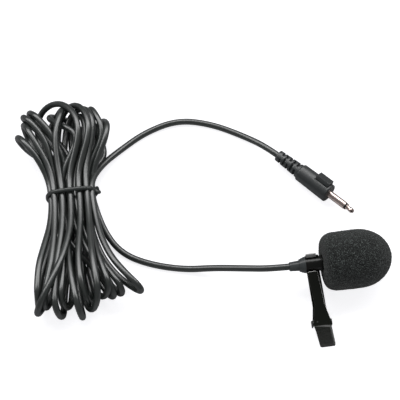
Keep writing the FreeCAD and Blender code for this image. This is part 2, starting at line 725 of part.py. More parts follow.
def cable_tie():
    left, right, low, high = min(hank_sections, key=lambda section: abs(section[0] - tie_y))[1:]
    out = tie_wire_r + film_gap
    corner = hank_round * (high - low) + out
    path = rounded_section(tie_y, left - out, right + out, low - out, high + out, corner)
    start = Vector((left + right) / 2, tie_y, low - out)
    section = Part.Wire(Part.makeCircle(tie_wire_r, start, Vector(1, 0, 0)))
    ring = path.makePipeShell([section], True, False)
    lean = Vector(1.0, 0.15, 0.6)
    ends = []
    for side in (-1, 1):
        root = Vector(right + out, tie_y, tie_stub_z + side * tie_stub_apart)
        ends.append(Part.makeCylinder(tie_wire_r, tie_stub_len, root, lean + Vector(0, 0, -side * 0.3)))
    return ring.fuse(ends)


def at_head(shape):
    shape.translate(Vector(foam_back_x, axis_y, axis_z))
    return shape


def at_clip(shape):
    shape.rotate(Vector(0, 0, 0), Vector(1, 0, 0), droop)
    shape.translate(Vector(clip_x, axis_y, axis_z))
    return shape


def at_plug(shape):
    shape.rotate(Vector(0, 0, 0), Vector(0, 0, 1), plug_heading)
    shape.translate(Vector(plug_x, plug_y, plug_front_r))
    return shape


def behind_plug(distance):
    """The point on the plug's axis that lies a distance behind its shoulder."""
    a = math.radians(plug_heading)
    return plug_x - distance * math.cos(a), plug_y - distance * math.sin(a), plug_front_r


jacket = (foam_back_x + jacket_x, axis_y, axis_z)
tail_bend = (jacket[0] - tail_run, axis_y, axis_z)
mic_cord = tube([jacket, tail_bend] + mic_route, cord_r, "cord to the microphone")
plug_cord = tube(plug_route + [behind_plug(jacket_end + plug_run), behind_plug(jacket_end)], cord_r,
                 "cord to the plug")
hank = cable_hank()

nodes = {
    "foam_windscreen": at_head(windscreen()),
    "head_shell": at_head(head_shell()),
    "front_grille": at_head(front_grille()),
    "acoustic_mesh": at_head(rod(mesh_x0, barrel_x1, skirt_in_r - push_gap)),
    "dust_felt": at_head(rod(can_x1, mesh_x0, felt_r)),
    "capsule_can": at_head(capsule_can()),
    "diaphragm_ring": at_head(sleeve(film_ring_x0, film_ring_x1, stack_r, film_ring_in_r)),
    "diaphragm": at_head(rod(film_x0, film_ring_x0, stack_r)),
    "spacer_ring": at_head(sleeve(spacer_x0, film_x0, stack_r, spacer_in_r)),
    "backplate": at_head(backplate()),
    "backplate_holder": at_head(sleeve(board_x1, spacer_x0, stack_r, stack_r - holder_wall)),
    "gate_ring": at_head(sleeve(board_x1, plate_x0, plate_r, plate_r - gate_ring_wall)),
    "capsule_board": at_head(rod(board_x0, board_x1, stack_r)),
    "fet": at_head(block(board_x1, board_x1 + fet_len, -fet_w / 2, fet_w / 2, -fet_h / 2, fet_h / 2)),
    "solder_joints": at_head(solder_joints()),
    "capsule_boot": at_head(capsule_boot()),
    "inner_leads": at_head(inner_leads()),
    "crimp_ferrule": at_head(sleeve(ferrule_x0, ferrule_x1, ferrule_r, cord_r + film_gap)),
    "tail_cone": at_head(tail_cone()),
    "strain_relief": at_head(strain_relief()),
    "clip_back_arm": at_clip(clip_back_arm()),
    "clip_front_jaw": at_clip(clip_front_jaw()),
    "clip_pivot_pin": at_clip(across(pivot_s, pivot_n, pin_r, 2 * ear_x1)),
    "clip_spring": at_clip(clip_spring()),
    "cable_mic_side": mic_cord.cut(hank),
    "cable_hank": hank,
    "cable_plug_side": plug_cord.cut(hank),
    "cable_tie": cable_tie(),
    "plug_overmould": at_plug(plug_overmould()),
    "plug_premould": at_plug(plug_premould()),
    "plug_sleeve": at_plug(plug_sleeve()),
    "plug_insulator": at_plug(plug_insulator()),
    "plug_tip": at_plug(plug_tip()),
    "plug_leads": at_plug(plug_leads()),
}

for name, shape in nodes.items():
    shape.exportStep(f"parts/{name}.step")
    box = shape.BoundBox
    print(f"{name}: {len(shape.Solids)} solid, valid {shape.isValid()}, volume {shape.Volume:.2f}, "
          f"x {box.XMin:.2f} {box.XMax:.2f}, y {box.YMin:.2f} {box.YMax:.2f}, "
          f"z {box.ZMin:.2f} {box.ZMax:.2f}")
print(f"axis y {axis_y:.3f}, droop {droop:.2f}, clip x {clip_x:.3f}, pivot n {pivot_n:.3f}")
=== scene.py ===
import logging
import math
from dataclasses import dataclass, field
from enum import Enum

import bmesh
import bpy
import numpy as np
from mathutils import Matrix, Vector, noise


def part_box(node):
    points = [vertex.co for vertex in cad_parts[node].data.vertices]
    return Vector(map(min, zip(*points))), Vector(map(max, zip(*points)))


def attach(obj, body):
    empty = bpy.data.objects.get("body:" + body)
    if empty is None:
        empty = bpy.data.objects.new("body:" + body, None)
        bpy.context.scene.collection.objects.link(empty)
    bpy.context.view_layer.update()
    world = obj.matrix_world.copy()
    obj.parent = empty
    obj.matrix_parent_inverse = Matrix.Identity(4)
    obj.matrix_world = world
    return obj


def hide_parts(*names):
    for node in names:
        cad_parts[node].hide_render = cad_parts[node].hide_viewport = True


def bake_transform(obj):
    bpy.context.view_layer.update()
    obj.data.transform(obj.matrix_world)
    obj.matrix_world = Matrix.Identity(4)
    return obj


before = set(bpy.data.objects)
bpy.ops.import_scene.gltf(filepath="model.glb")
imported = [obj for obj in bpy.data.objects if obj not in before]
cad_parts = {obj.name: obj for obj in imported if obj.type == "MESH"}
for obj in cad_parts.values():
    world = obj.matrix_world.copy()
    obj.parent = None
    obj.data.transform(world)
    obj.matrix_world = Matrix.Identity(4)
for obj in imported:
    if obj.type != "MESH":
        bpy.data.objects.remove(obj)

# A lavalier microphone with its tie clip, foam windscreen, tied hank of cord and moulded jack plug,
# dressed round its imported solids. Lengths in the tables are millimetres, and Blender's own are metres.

LOG = logging.getLogger("lavalier")
MM = 0.001
Point = tuple[float, float, float]

WELD_MM = 0.02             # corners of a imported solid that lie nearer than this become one
MERGE_MM = 0.002           # and so do corners of its rounded edges
FLAT_DEGREES = 0.6         # faces that meet at less than this become one flat face
HIGHLIGHT_END_MM = 1.0        # how far from its far end a strip's rounding takes the painted highlight all round
SECOND_FINISH = 1          # place of the second finish among a piece's materials
PATCH_MM = 9.0             # size of the soft patches in a finish
PATCH_SPAN = (0.3, 0.7)    # part of the noise that the patches run over


class Body(Enum):
    """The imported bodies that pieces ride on."""

    MICROPHONE = "microphone"
    WINDSCREEN = "windscreen"
    CLIP = "clip"
    JAW = "jaw"


# Small tools

def linear(hex_colour: str) -> tuple[float, float, float, float]:
    """Turns an sRGB hex colour into a linear one.

    Args:
        hex_colour: six hex digits after a hash.

    Returns:
        Linear red, green and blue, with an alpha of 1.
    """
    parts = [int(hex_colour[k:k + 2], 16) / 255 for k in (1, 3, 5)]
    return tuple(c / 12.92 if c <= 0.04045 else ((c + 0.055) / 1.055) ** 2.4 for c in parts) + (1.0,)


def add_node(tree: bpy.types.NodeTree, kind: str, inputs: dict | None = None, **settings) -> bpy.types.Node:
    """Adds a node with its settings, and fills or links its inputs.

    Args:
        tree: the node tree that it goes into.
        kind: the node's type name.
        inputs: a value, or a socket to link from, for each input's name or number.
        settings: the node's own settings.

    Returns:
        The new node.
    """
    node = tree.nodes.new(kind)
    for name, value in settings.items():
        setattr(node, name, value)
    for key, value in (inputs or {}).items():
        if isinstance(value, bpy.types.NodeSocket):
            tree.links.new(value, node.inputs[key])
        else:
            node.inputs[key].default_value = value
    return node


def piece_from(name: str, mesh: bmesh.types.BMesh, smooth: float = 40.0) -> bpy.types.Object:
    """Makes a piece from a bmesh, with its sharper edges kept sharp.

    Args:
        name: the piece's name.
        mesh: the finished bmesh, in metres, which is freed.
        smooth: the angle in degrees past which an edge stays sharp.

    Returns:
        The new object, at the origin.
    """
    bmesh.ops.recalc_face_normals(mesh, faces=mesh.faces)
    for edge in mesh.edges:
        edge.smooth = len(edge.link_faces) < 2 or edge.calc_face_angle(0.0) < math.radians(smooth)
    for face in mesh.faces:
        face.smooth = True
    data = bpy.data.meshes.new(name)
    mesh.to_mesh(data)
    mesh.free()
    piece = bpy.data.objects.new(name, data)
    bpy.context.scene.collection.objects.link(piece)
    return piece


def eased_copy(node: str, name: str, width: float, sharp: float = 35.0,
               highlight_facing: float | None = None) -> bpy.types.Object:
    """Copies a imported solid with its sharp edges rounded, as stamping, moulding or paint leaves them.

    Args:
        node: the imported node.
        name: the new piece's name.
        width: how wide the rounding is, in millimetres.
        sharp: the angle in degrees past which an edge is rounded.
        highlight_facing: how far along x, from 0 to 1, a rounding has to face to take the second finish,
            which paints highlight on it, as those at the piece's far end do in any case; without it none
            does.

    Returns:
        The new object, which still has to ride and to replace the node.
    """
    mesh = bmesh.new()
    mesh.from_mesh(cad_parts[node].data)
    bmesh.ops.remove_doubles(mesh, verts=mesh.verts, dist=WELD_MM * MM)
    bmesh.ops.dissolve_limit(mesh, angle_limit=math.radians(FLAT_DEGREES), use_dissolve_boundaries=False,
                             verts=mesh.verts, edges=mesh.edges)
    mesh.normal_update()
    shortest = 0.8 * width * MM
    edges = [e for e in mesh.edges
             if e.calc_length() > shortest and e.calc_face_angle_signed(0.0) > math.radians(sharp)]
    rounded = bmesh.ops.bevel(mesh, geom=edges, offset=width * MM, offset_type="OFFSET", segments=2,
                              profile=0.5, affect="EDGES", material=-1, clamp_overlap=False)["faces"]
    if highlight_facing is not None:
        mesh.normal_update()
        far_end = max(vert.co.y for vert in mesh.verts) - HIGHLIGHT_END_MM * MM
        # Roundings that face +x, and all those at the far end, take the pale second finish: painted
        # highlight where the edges catch the light.
        for face in rounded:
            if face.normal.x > highlight_facing or face.calc_center_median().y > far_end:
                face.material_index = SECOND_FINISH
    bmesh.ops.remove_doubles(mesh, verts=mesh.verts, dist=MERGE_MM * MM)
    piece = piece_from(name, mesh)
    even = piece.modifiers.new("flat_faces_shade_flat", "WEIGHTED_NORMAL")
    even.mode, even.keep_sharp = "FACE_AREA", True
    return piece


def smooth_path(name: str, points: np.ndarray, radius: float, steps: int) -> bpy.types.Object:
    """Makes a round cord along one smooth open spline.

    Args:
        name: the piece's name.
        points: the control points, in millimetres.
        radius: the cord's radius, in millimetres.
        steps: how many rings each control point adds.

    Returns:
        The new curve object.
    """
    curve = bpy.data.curves.new(name, "CURVE")
    curve.dimensions = "3D"
    spline = curve.splines.new("NURBS")
    spline.points.add(len(points) - 1)
    for target, place in zip(spline.points, points):
        target.co = (*(float(c) * MM for c in place), 1.0)
    spline.order_u = 3
    spline.use_endpoint_u = True
    spline.resolution_u = steps
    curve.resolution_u = steps
    curve.bevel_depth = radius * MM
    curve.bevel_resolution = 4
    curve.use_fill_caps = True
    piece = bpy.data.objects.new(name, curve)
    bpy.context.scene.collection.objects.link(piece)
    return piece


# Finishes

@dataclass(frozen=True)
class Finish:
    """A real material, with how its surface was made."""

    name: str
    colour: str
    roughness: float
    ior: float = 1.5
    grain_mm: float = 0.3
    grain_depth_mm: float = 0.01
    mottle: float = 0.12
    specular: float = 0.5

    def material(self) -> bpy.types.Material:
        """Builds the material the first time that it is asked for.

        Returns:
            The material, which all pieces of this finish share.
        """
        found = bpy.data.materials.get(self.name)
        if found:
            return found
        material = bpy.data.materials.new(self.name)
        material.use_nodes = True
        tree = material.node_tree
        tree.nodes.clear()
        shader = add_node(tree, "ShaderNodeBsdfPrincipled",
                          {"Base Color": linear(self.colour), "Roughness": self.roughness})
        add_node(tree, "ShaderNodeOutputMaterial", {"Surface": shader.outputs["BSDF"]})
        place = add_node(tree, "ShaderNodeTexCoord").outputs["Object"]
        self.dress(tree, shader, place)
        return material

    def dress(self, tree: bpy.types.NodeTree, shader: bpy.types.Node, place: bpy.types.NodeSocket) -> None:
        """Adds the colour variation and the surface's grain.

        Args:
            tree: the material's node tree.
            shader: its Principled shader.
            place: the object coordinates.
        """
        shader.inputs["IOR"].default_value = self.ior
        shader.inputs["Specular IOR Level"].default_value = self.specular
        self.mottled(tree, shader, place)
        grain = add_node(tree, "ShaderNodeTexNoise",
                         {"Vector": place, "Scale": 1 / (self.grain_mm * MM), "Detail": 2.0})
        self.bumped(tree, shader, grain.outputs[0])

    def mottled(self, tree: bpy.types.NodeTree, shader: bpy.types.Node, place: bpy.types.NodeSocket) -> None:
        """Varies the colour in soft patches some millimetres across, and the gloss with it.

        Args:
            tree: the material's node tree.
            shader: its Principled shader.
            place: the object coordinates.
        """
        base = linear(self.colour)
        patches = add_node(tree, "ShaderNodeTexNoise",
                           {"Vector": place, "Scale": 1 / (PATCH_MM * MM), "Detail": 4.0, "Roughness": 0.6})
        ramp = add_node(tree, "ShaderNodeValToRGB", {"Fac": patches.outputs[0]})
        for stop, share, at in zip(ramp.color_ramp.elements, (1 - self.mottle, 1 + self.mottle), PATCH_SPAN):
            stop.position = at
            stop.color = (*(min(c * share, 1.0) for c in base[:3]), 1.0)
        tree.links.new(ramp.outputs["Color"], shader.inputs["Base Color"])
        gloss = add_node(tree, "ShaderNodeMapRange",
                         {"Value": patches.outputs[0], "From Min": PATCH_SPAN[0], "From Max": PATCH_SPAN[1],
                          "To Min": self.roughness * (1 + self.mottle),
                          "To Max": self.roughness * (1 - self.mottle)})
        tree.links.new(gloss.outputs[0], shader.inputs["Roughness"])

    def bumped(self, tree: bpy.types.NodeTree, shader: bpy.types.Node, height: bpy.types.NodeSocket) -> None:
        """Raises the surface by a height that runs from 0 to 1.

        Args:
            tree: the material's node tree.
            shader: its Principled shader.
            height: the height.
        """
        bump = add_node(tree, "ShaderNodeBump", {"Height": height, "Strength": 1.0,
                                                 "Distance": self.grain_depth_mm * MM})
        tree.links.new(bump.outputs["Normal"], shader.inputs["Normal"])


@dataclass(frozen=True)
class OpenCellFoam(Finish):
    """Reticulated polyurethane foam: painted highlight on the strands round painted shade in the open cells,
    and hardly any shine.
    """

    # strand is painted highlight, the lit strands; cell is painted shade, inside the open cells
    strand: str = "#5e6462"
    cell: str = "#050707"
    colour_stops: Point = (0.12, 0.5, 0.95)
    shine: float = 0.15
    fuzz: float = 0.15
    fuzz_roughness: float = 0.6

    def dress(self, tree: bpy.types.NodeTree, shader: bpy.types.Node, place: bpy.types.NodeSocket) -> None:
        """Draws the cells, pushed out of line by a noise of their own size.

        Args:
            tree: the material's node tree.
            shader: its Principled shader.
            place: the object coordinates.
        """
        scale = 1 / (self.grain_mm * MM)
        warp = add_node(tree, "ShaderNodeTexNoise", {"Vector": place, "Scale": scale})
        push = add_node(tree, "ShaderNodeVectorMath",
                        {0: warp.outputs["Color"], 1: (self.grain_mm * MM,) * 3}, operation="MULTIPLY")
        pushed = add_node(tree, "ShaderNodeVectorMath", {0: place, 1: push.outputs[0]}, operation="ADD")
        cells = add_node(tree, "ShaderNodeTexVoronoi", {"Vector": pushed.outputs[0], "Scale": scale},
                         feature="F1")
        ramp = add_node(tree, "ShaderNodeValToRGB", {"Fac": cells.outputs["Distance"]})
        stops = ramp.color_ramp.elements
        first, middle, last = self.colour_stops
        # Painted shade at the cells' middles, painted highlight on the strands between them.
        stops[0].position, stops[0].color = first, linear(self.cell)
        stops[1].position, stops[1].color = last, linear(self.strand)
        stops.new(middle).color = linear(self.colour)
        tree.links.new(ramp.outputs["Color"], shader.inputs["Base Color"])
        shader.inputs["Specular IOR Level"].default_value = self.shine
        shader.inputs["Sheen Weight"].default_value = self.fuzz
        shader.inputs["Sheen Roughness"].default_value = self.fuzz_roughness
        self.bumped(tree, shader, cells.outputs["Distance"])


@dataclass(frozen=True)
class PlatedMetal(Finish):
    """Bare or plated metal: it mirrors the lamps and the table, broken up a little by its grain."""

    def dress(self, tree: bpy.types.NodeTree, shader: bpy.types.Node, place: bpy.types.NodeSocket) -> None:
        """Makes it metal, with a fine grain.

        Args:
            tree: the material's node tree.
            shader: its Principled shader.
            place: the object coordinates.
        """
        shader.inputs["Metallic"].default_value = 1.0
        self.mottled(tree, shader, place)
        grain = add_node(tree, "ShaderNodeTexNoise",
                         {"Vector": place, "Scale": 1 / (self.grain_mm * MM), "Detail": 3.0})
        self.bumped(tree, shader, grain.outputs[0])


@dataclass(frozen=True)
class WovenCloth(Finish):
    """Fine woven or felted stuff: threads that cross, and no shine."""

    def dress(self, tree: bpy.types.NodeTree, shader: bpy.types.Node, place: bpy.types.NodeSocket) -> None:
        """Crosses two waves for the threads.

        Args:
            tree: the material's node tree.
            shader: its Principled shader.
            place: the object coordinates.
        """
        self.mottled(tree, shader, place)
        scale = 1 / (self.grain_mm * MM)
        across, along = (add_node(tree, "ShaderNodeTexWave", {"Vector": place, "Scale": scale},
                                  bands_direction=way) for way in ("Y", "Z"))
        both = add_node(tree, "ShaderNodeMath", {0: across.outputs[1], 1: along.outputs[1]},
                        operation="MAXIMUM")
        self.bumped(tree, shader, both.outputs[0])


# Open-cell foam: charcoal and dull, with pale flecks of painted highlight where strands catch the light and
# painted shade in the open cells
FOAM = OpenCellFoam("polyurethane_foam_charcoal", "#090c0b", 1.0, grain_mm=0.42, grain_depth_mm=0.34)
# Extruded soft PVC: dark grey, satin, with long highlights that waver a little
CORD_PVC = Finish("pvc_extruded_dark_grey", "#222725", 0.33, 1.62, grain_mm=0.5, grain_depth_mm=0.01,
                  specular=1.0)
# Injected soft PVC: as dark, with the fine matte bloom of a spark-eroded mould
PLUG_PVC = Finish("pvc_moulded_black", "#272b2c", 0.4, 1.53, grain_mm=0.12, grain_depth_mm=0.012,
                  specular=0.9)
# PVC drawn over wire: a shade paler than the cord's, with short highlights
TIE_PVC = Finish("pvc_coated_wire_black", "#2e3231", 0.35, 1.56, grain_mm=0.4, grain_depth_mm=0.01,
                 specular=0.8)
# Moulded rubber: dark grey, with a broad soft highlight
RUBBER = Finish("rubber_moulded_black", "#3a3e3f", 0.33, 1.52, grain_mm=0.15, grain_depth_mm=0.01)
# Black lacquer on stamped spring steel: deep and glossy, with a slight orange peel
CLIP_PAINT = Finish("steel_black_lacquer", "#11130f", 0.16, 1.5, grain_mm=0.6, grain_depth_mm=0.01,
                    specular=0.33)
# Baked enamel on the drawn shell: black, with a softer highlight than the lacquer's
SHELL_PAINT = Finish("steel_black_enamel", "#0d0e0c", 0.25, 1.5, grain_mm=0.5, grain_depth_mm=0.015)
# Nickel on turned brass: bright above and brown below, where it mirrors the table
NICKEL = PlatedMetal("nickel_plated_brass", "#f0ddd6", 0.24, grain_mm=0.2, grain_depth_mm=0.003)
# Drawn spring wire and pressed plate: mid grey, softly shining
STEEL = PlatedMetal("spring_steel_drawn", "#a7a8a8", 0.35, grain_mm=0.15, grain_depth_mm=0.006)
# Painted highlight: pale bare metal on the strips' roundings that face the light, at their far ends and on
# the ring's tab, for the thin bright lines where they catch it
PAINTED_HIGHLIGHT_STEEL = PlatedMetal("steel_painted_highlight", "#dededc", 0.5, grain_mm=0.1, grain_depth_mm=0.004)
# Chemically blackened steel: dark grey metal that still glints at the pin's ends
PIN_STEEL = PlatedMetal("steel_blackened", "#5b5c5c", 0.35, grain_mm=0.15, grain_depth_mm=0.006)
# Turned brass: warm yellow and shiny
BRASS = PlatedMetal("brass_turned", "#d8b66a", 0.3, grain_mm=0.15, grain_depth_mm=0.005)
# Drawn aluminium: pale, clean and shiny
ALUMINIUM = PlatedMetal("aluminium_drawn", "#d9dadb", 0.3, grain_mm=0.2, grain_depth_mm=0.005)
# Solder: pale grey and lumpy
SOLDER = PlatedMetal("solder_tin_lead_free", "#c4c4c6", 0.3, grain_mm=0.4, grain_depth_mm=0.02)
# Polyester film: pale straw, smooth and glossy
FILM = Finish("polyester_film_clear", "#e5dfcf", 0.12, 1.64, grain_mm=1.0, grain_depth_mm=0.002)
# Moulded nylon: off-white and satin
HOLDER = Finish("nylon_moulded_white", "#e3e2de", 0.45, 1.53, grain_mm=0.2, grain_depth_mm=0.01)
# Glass-filled epoxy under green solder mask: satin, with a faint weave
BOARD = Finish("glass_epoxy_green", "#2f7a4c", 0.35, 1.55, grain_mm=0.5, grain_depth_mm=0.01)
# Moulded epoxy: near black and matte
CHIP = Finish("epoxy_moulded_black", "#2a2a2b", 0.6, 1.55, grain_mm=0.1, grain_depth_mm=0.01)
# Thin lead insulation: red and satin
LEAD = Finish("pvc_lead_red", "#b5342d", 0.35, 1.53, grain_mm=0.3, grain_depth_mm=0.01)
# Acetal: smooth black, with a small clear highlight
INSULATOR = Finish("acetal_black", "#1b1b1c", 0.3, 1.48, grain_mm=0.2, grain_depth_mm=0.005)
# Polyester felt: grey and fuzzy
FELT = WovenCloth("polyester_felt_grey", "#7b7b7b", 0.95, grain_mm=0.15, grain_depth_mm=0.03)
# Fine steel mesh: pale grey threads with a dull glint
MESH = WovenCloth("steel_mesh_fine", "#a9a9aa", 0.4, grain_mm=0.12, grain_depth_mm=0.04)


def dress_node(node: str, finish: Finish) -> None:
    """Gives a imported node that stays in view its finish.

    Args:
        node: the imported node's name.
        finish: its finish.
    """
    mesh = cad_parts[node].data
    mesh.materials.clear()
    mesh.materials.append(finish.material())
    LOG.info("%s dressed as %s", node, finish.name)


def place_piece(piece: bpy.types.Object, finish: Finish, slot: str, body: Body, *nodes: str,
                second: Finish | None = None) -> None:
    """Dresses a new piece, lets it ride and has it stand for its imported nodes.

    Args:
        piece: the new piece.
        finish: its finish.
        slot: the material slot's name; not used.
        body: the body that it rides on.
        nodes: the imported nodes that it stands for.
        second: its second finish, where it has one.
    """
    piece.data.materials.append(finish.material())
    if second is not None:
        piece.data.materials.append(second.material())
    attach(piece, body.value)
    if nodes:
        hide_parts(*nodes)
    LOG.info("%s built as %s, riding on %s", piece.name, finish.name, body.value)


# Cord

@dataclass(frozen=True)
class Fold:
    """Where the cord doubles back: its upper strand's end, the tip and its lower strand's end."""

    high: Point
    tip: Point
    low: Point

    def points(self, steps: int = 6) -> list[np.ndarray]:
        """Walks round the fold from its upper end to its lower one.

        Args:
            steps: how many steps the walk takes.

        Returns:
            The control points, both ends among them.
        """
        high, tip, low = (np.array(p, float) for p in (self.high, self.tip, self.low))
        centre, half = (high + low) / 2, (high - low) / 2
        angles = [math.pi * k / steps for k in range(steps + 1)]
        return [centre + half * math.cos(a) + (tip - centre) * math.sin(a) for a in angles]

    def heading(self) -> np.ndarray:
        """Which way the fold points.

        Returns:
            The direction, of length 1.
        """
        high, tip, low = (np.array(p, float) for p in (self.high, self.tip, self.low))
        out = tip - (high + low) / 2
        return out / np.linalg.norm(out)


@dataclass(frozen=True)
class Turn:
    """One turn of the hank: up to the far fold, back through the tie, round the near fold and on."""

    upper: tuple[float, float]    # the upper strand's place at the tie, across from its middle and up
    far: Fold
    lower: tuple[float, float]    # the lower strand's
    near: Fold


@dataclass
class CordLine:
    """The cord's control points from the microphone to the plug, with the hank's turns between, in mm."""

    radius: float = 1.5
    tie_x: float = -116.75
    tie_y: float = 66.8
    straight: float = 5.0       # how far the strands run straight on from the tie's middle
    leg_points: int = 3         # control points between the tie and a fold
    rounds: int = 120           # rounds in which the strands settle
    samples: int = 5            # places tested along the line for each control point
    regroup: int = 10           # rounds from one search for close strands to the next
    reach: float = 2.5          # how much wider than touching that search looks
    step: float = 0.5           # longest push on a place in one round
    evening: float = 0.3        # how strongly neighbours share a shift
    from_microphone: tuple[Point, ...] = (
        (-15.75, 13.178, 13.3), (-30.1, 13.178, 13.3), (-44.2, 17.4, 9.3), (-56.5, 22.0, 4.0),
        (-69.0, 24.1, 1.5), (-84.0, 28.6, 1.5), (-96.0, 35.5, 1.5), (-103.0, 46.0, 3.0))
    to_plug: tuple[Point, ...] = (
        (-101.5, 82.8, 5.2), (-91.8, 91.8, 2.2), (-78.5, 100.9, 1.5), (-62.0, 105.9, 1.5),
        (-46.0, 101.4, 1.5), (-31.5, 92.3, 1.7), (-20.9, 82.09, 4.55), (-12.06, 71.49, 4.55))
    turns: tuple[Turn, ...] = (
        Turn((9.6, 6.7), Fold((-97.4, 97.9, 14.6), (-99.3, 106.3, 6.3), (-102.2, 101.7, 1.5)),
             (4.5, 3.7), Fold((-109.2, 15.2, 18.9), (-111.7, 7.2, 8.9), (-115.9, 15.9, 1.5))),
        Turn((7.2, 10.9), Fold((-103, 99.2, 15.8), (-108.2, 111.8, 12.1), (-116.4, 103, 3.9)),
             (-4.6, 3.7), Fold((-116.8, 19.7, 16.9), (-114.6, 9.8, 9.3), (-113.5, 19, 1.6))),
        Turn((3.7, 11.1), Fold((-105.2, 98.8, 18.3), (-113.5, 114.6, 11.3), (-121, 102, 3)),
             (-6.1, 6.1), Fold((-130.8, 16.2, 17.1), (-137.2, 8.5, 8.5), (-131.5, 19.5, 1.5))),
        Turn((-0.5, 11.2), Fold((-110.6, 98, 18), (-121, 115.6, 12.5), (-131, 107.3, 2.7)),
             (1.4, 3.7), Fold((-120, 11.5, 16), (-117.5, 3.6, 8.6), (-117.5, 12, 1.6))),
        Turn((-4.2, 8.4), Fold((-112, 97.3, 15.1), (-122.8, 110.7, 7.7), (-111.4, 110, 2.7)),
             (0.1, 6.1), Fold((-131.2, 17, 14.5), (-133.3, 10.2, 7.8), (-129.4, 20.4, 3.2))),
        Turn((-8, 11), Fold((-133.7, 98.8, 16.4), (-136.5, 107.3, 9.3), (-134.4, 102.6, 1.5)),
             (-7.3, 3.7), Fold((-135.3, 16.4, 15.3), (-135.6, 10.4, 8.8), (-136, 14.6, 3.9))),
        Turn((-9.6, 8.4), Fold((-136, 94, 15.3), (-139.6, 100, 8.2), (-134.9, 93.8, 3.8)),
             (-3, 6.1), Fold((-125.2, 16.7, 14.9), (-125.1, 9.7, 8.2), (-121, 17, 1.6))),
        Turn((-7, 8.2), Fold((-132.2, 104.2, 16.1), (-135.9, 110.4, 9.3), (-130.4, 106.2, 2.5)),
             (-1.5, 3.7), Fold((-104.4, 17.9, 13.6), (-102.8, 12.1, 7.2), (-107.2, 20.3, 1.5))),
        Turn((-1.3, 8.4), Fold((-129, 106.4, 17), (-133, 113.2, 9.8), (-129.2, 110, 3.8)),
             (3.2, 6.1), Fold((-128.4, 12, 14.5), (-126.3, 5.2, 8), (-124, 12, 1.6))),
        Turn((-4.3, 11.1), Fold((-118.3, 106, 16.5), (-118.1, 113.6, 9), (-125.8, 105.2, 2.4)),
             (-9, 6.1), Fold((-101.5, 18.5, 12.5), (-98.9, 13.2, 7), (-102.3, 17.9, 1.5))),
        Turn((1.6, 8.4), Fold((-107.6, 100.4, 13.6), (-112.2, 109.1, 8.3), (-116.1, 96.1, 1.5)),
             (7.3, 3.7), Fold((-105, 18.1, 15.9), (-106.5, 12.2, 8.6), (-111.6, 19.1, 1.7))),
        Turn((7.3, 8), Fold((-98.2, 98.8, 15), (-104.2, 110.8, 10.1), (-99.8, 94.4, 1.5)),
             (6.3, 6.1), Fold((-95.8, 18.5, 14.6), (-90.6, 12.6, 8), (-100.8, 25.5, 1.5))))
    last_slot: tuple[float, float] = (9.5, 9.8)

    def at_tie(self, slot: tuple[float, float], way: int) -> np.ndarray:
        """Where a strand stands just beside the tie.

        Args:
            slot: the strand's place in the bundle, across from its middle and above the table.
            way: 1 on the far side of the tie and -1 on the near one.

        Returns:
            The control point.
        """
        return np.array((self.tie_x + slot[0], self.tie_y + way * self.straight, slot[1]))

    def leg(self, slot: tuple[float, float], way: int, end: Point, heading: np.ndarray) -> list[np.ndarray]:
        """Strand from the tie towards a fold, leaving the tie straight and meeting the fold in line.

        Args:
            slot: the strand's place in the bundle.
            way: 1 towards the far end and -1 towards the near one.
            end: the fold's end, which isn't among the points.
            heading: which way the fold points.

        Returns:
            The control points, from the tie outwards.
        """
        start, goal = self.at_tie(slot, way), np.array(end, float)
        span = np.linalg.norm(goal - start)
        out, into = np.array((0.0, way, 0.0)) * span, heading * span
        points = [start]
        for k in range(1, self.leg_points + 1):
            t = k / (self.leg_points + 1)
            points.append((2 * t**3 - 3 * t**2 + 1) * start + (t**3 - 2 * t**2 + t) * out
                          + (3 * t**2 - 2 * t**3) * goal + (t**3 - t**2) * into)
        return points

    def wound(self) -> tuple[np.ndarray, np.ndarray]:
        """Winds the hank, turn by turn, before its strands settle.

        Returns:
            The control points of the whole cord, and which of them stay where they are.
        """
        points = [np.array(p, float) for p in self.from_microphone]
        points.append(self.at_tie(self.turns[0].upper, -1))
        fixed = [True] * len(points)
        following = [turn.upper for turn in self.turns[1:]] + [self.last_slot]
        for turn, after in zip(self.turns, following):
            ways = (self.leg(turn.upper, 1, turn.far.high, turn.far.heading()), turn.far.points(),
                    self.leg(turn.lower, 1, turn.far.low, turn.far.heading())[::-1],
                    self.leg(turn.lower, -1, turn.near.low, turn.near.heading()), turn.near.points()[::-1],
                    self.leg(after, -1, turn.near.high, turn.near.heading())[::-1])
            for way in ways:
                points += way
            held = [True] + [False] * self.leg_points
            loose = [False] * len(turn.far.points())
            fixed += held + loose + held[::-1] + held + loose + held[::-1]
        points.append(self.at_tie(self.last_slot, 1))
        points += [np.array(p, float) for p in self.to_plug]
        fixed += [True] * (1 + len(self.to_plug))
        return np.array(points), np.array(fixed)

